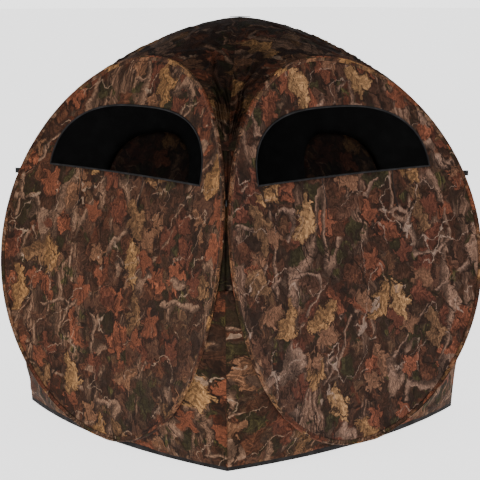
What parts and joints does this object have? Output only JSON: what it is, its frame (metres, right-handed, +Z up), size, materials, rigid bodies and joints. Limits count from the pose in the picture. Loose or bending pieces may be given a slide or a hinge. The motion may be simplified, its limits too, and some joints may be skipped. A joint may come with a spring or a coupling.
{
  "type": "pop up ground blind",
  "caption": "Free-standing fabric hide on oval spring-steel hoops, with domed roof, wide shooting windows, shut rear windows, zipped crawl door and ground skirt.",
  "frame": {"origin": "on the ground at the middle of the footprint", "axes": "+Z up; the front wall faces -Y and the right wall +X, the two walls with wide open windows; the door is in the left wall, facing -X"},
  "size_m": [1.5964, 1.5964, 1.7],
  "materials": {
    "wall_fabric": "matte woven polyester, autumn-woods camouflage print outside, black lining inside",
    "sleeve_fabric": "matte woven polyester edge sleeve",
    "roof_fabric": "matte woven polyester, camouflage print",
    "skirt_fabric": "matte woven polyester, camouflage print",
    "cover_fabric": "unlined camouflage window cover",
    "lining_fabric": "matte black lining",
    "black_webbing": "black polyester tape and webbing",
    "cord": "thin black tie cord",
    "spring_steel": "tempered flat spring-steel band",
    "zip_metal": "dark zip hardware"
  },
  "bodies": {
    "front_wall": {"front_hoop": "spring_steel", "front_hoop_ferrule": "spring_steel", "front_hoop_sleeve": "sleeve_fabric", "front_wall_panel": "wall_fabric", "front_window_binding": "black_webbing", "front_roof_gore": "roof_fabric", "front_skirt": "skirt_fabric", "front_ground_hem": "black_webbing", "front_right_corner_tape": "sleeve_fabric", "front_right_tie_loop": "black_webbing", "front_right_stake_loop": "black_webbing", "roof_peak_patch": "black_webbing", "front_left_tie_cord": "cord", "front_right_tie_cord": "cord"},
    "right_wall": {"right_hoop": "spring_steel", "right_hoop_ferrule": "spring_steel", "right_hoop_sleeve": "sleeve_fabric", "right_wall_panel": "wall_fabric", "right_window_binding": "black_webbing", "right_roof_gore": "roof_fabric", "right_skirt": "skirt_fabric", "right_ground_hem": "black_webbing", "back_right_corner_tape": "sleeve_fabric", "back_right_tie_loop": "black_webbing", "back_right_stake_loop": "black_webbing", "right_left_tie_cord": "cord", "right_right_tie_cord": "cord"},
    "back_wall": {"back_hoop": "spring_steel", "back_hoop_ferrule": "spring_steel", "back_hoop_sleeve": "sleeve_fabric", "back_wall_panel": "wall_fabric", "back_window_binding": "black_webbing", "back_roof_gore": "roof_fabric", "back_skirt": "skirt_fabric", "back_ground_hem": "black_webbing", "back_left_corner_tape": "sleeve_fabric", "back_left_tie_loop": "black_webbing", "back_left_stake_loop": "black_webbing"},
    "left_wall": {"left_hoop": "spring_steel", "left_hoop_ferrule": "spring_steel", "left_hoop_sleeve": "sleeve_fabric", "left_wall_panel": "wall_fabric", "left_window_binding": "black_webbing", "left_roof_gore": "roof_fabric", "left_skirt": "skirt_fabric", "left_ground_hem": "black_webbing", "front_left_corner_tape": "sleeve_fabric", "front_left_tie_loop": "black_webbing", "front_left_stake_loop": "black_webbing", "door_zip_track": "black_webbing"},
    "front_flap": {"front_window_flap": "lining_fabric"},
    "right_flap": {"right_window_flap": "lining_fabric"},
    "back_flap": {"back_window_flap": "cover_fabric"},
    "left_flap": {"left_window_flap": "cover_fabric"},
    "door": {"door_flap": "wall_fabric"},
    "zip_slider": {"door_zip_slider": "zip_metal", "door_zip_pull": "zip_metal"}
  },
  "joints": [
    {"name": "right_wall_fold", "type": "hinge", "parent": "front_wall", "child": "right_wall", "pos_m": [0.73, -0.73, 0.77425], "axis": [-0.2273, 0.2273, 0.9469], "range_deg": [0, 46], "deforming": ["front_roof_gore", "front_skirt", "front_ground_hem", "front_right_corner_tape", "front_right_tie_loop", "front_right_stake_loop", "roof_peak_patch", "right_roof_gore", "right_skirt", "right_ground_hem", "back_right_corner_tape", "back_right_tie_loop", "back_right_stake_loop"]},
    {"name": "back_wall_fold", "type": "hinge", "parent": "right_wall", "child": "back_wall", "pos_m": [0.736, 0.736, 0.77425], "axis": [-0.1835, -0.1835, 0.9657], "range_deg": [-45, 0], "deforming": ["back_roof_gore", "back_skirt", "back_ground_hem", "back_left_corner_tape", "back_left_tie_loop", "back_left_stake_loop"]},
    {"name": "left_wall_fold", "type": "hinge", "parent": "front_wall", "child": "left_wall", "pos_m": [-0.736, -0.736, 0.77425], "axis": [0.1835, 0.1835, 0.9657], "range_deg": [0, 45], "deforming": ["left_roof_gore", "left_skirt", "left_ground_hem", "front_left_corner_tape", "front_left_tie_loop", "front_left_stake_loop"]},
    {"name": "front_flap_hinge", "type": "hinge", "parent": "front_wall", "child": "front_flap", "pos_m": [0, -0.6116, 1.06293], "axis": [1, 0, 0], "range_deg": [0, 176]},
    {"name": "right_flap_hinge", "type": "hinge", "parent": "right_wall", "child": "right_flap", "pos_m": [0.6116, 0, 1.06293], "axis": [0, 1, 0], "range_deg": [0, 176]},
    {"name": "back_flap_hinge", "type": "hinge", "parent": "back_wall", "child": "back_flap", "pos_m": [0, 0.6524, 0.89293], "axis": [1, 0, 0], "range_deg": [0, 172]},
    {"name": "left_flap_hinge", "type": "hinge", "parent": "left_wall", "child": "left_flap", "pos_m": [-0.6524, 0, 0.89293], "axis": [0, 1, 0], "range_deg": [0, 172]},
    {"name": "door_hinge", "type": "hinge", "parent": "left_wall", "child": "door", "pos_m": [-0.75702, 0.325, 0.35678], "axis": [0.0906, 0, 0.9959], "range_deg": [-98, 0]},
    {"name": "zip_travel", "type": "hinge", "parent": "left_wall", "child": "zip_slider", "pos_m": [-0.74221, 0, 0.52377], "axis": [-0.9788, 0, 0.2051], "range_deg": [0, 172]}
  ],
  "couplings": [
    {"joint": "back_wall_fold", "follows": "right_wall_fold", "ratio": -0.97},
    {"joint": "left_wall_fold", "follows": "right_wall_fold", "ratio": 0.97}
  ]
}
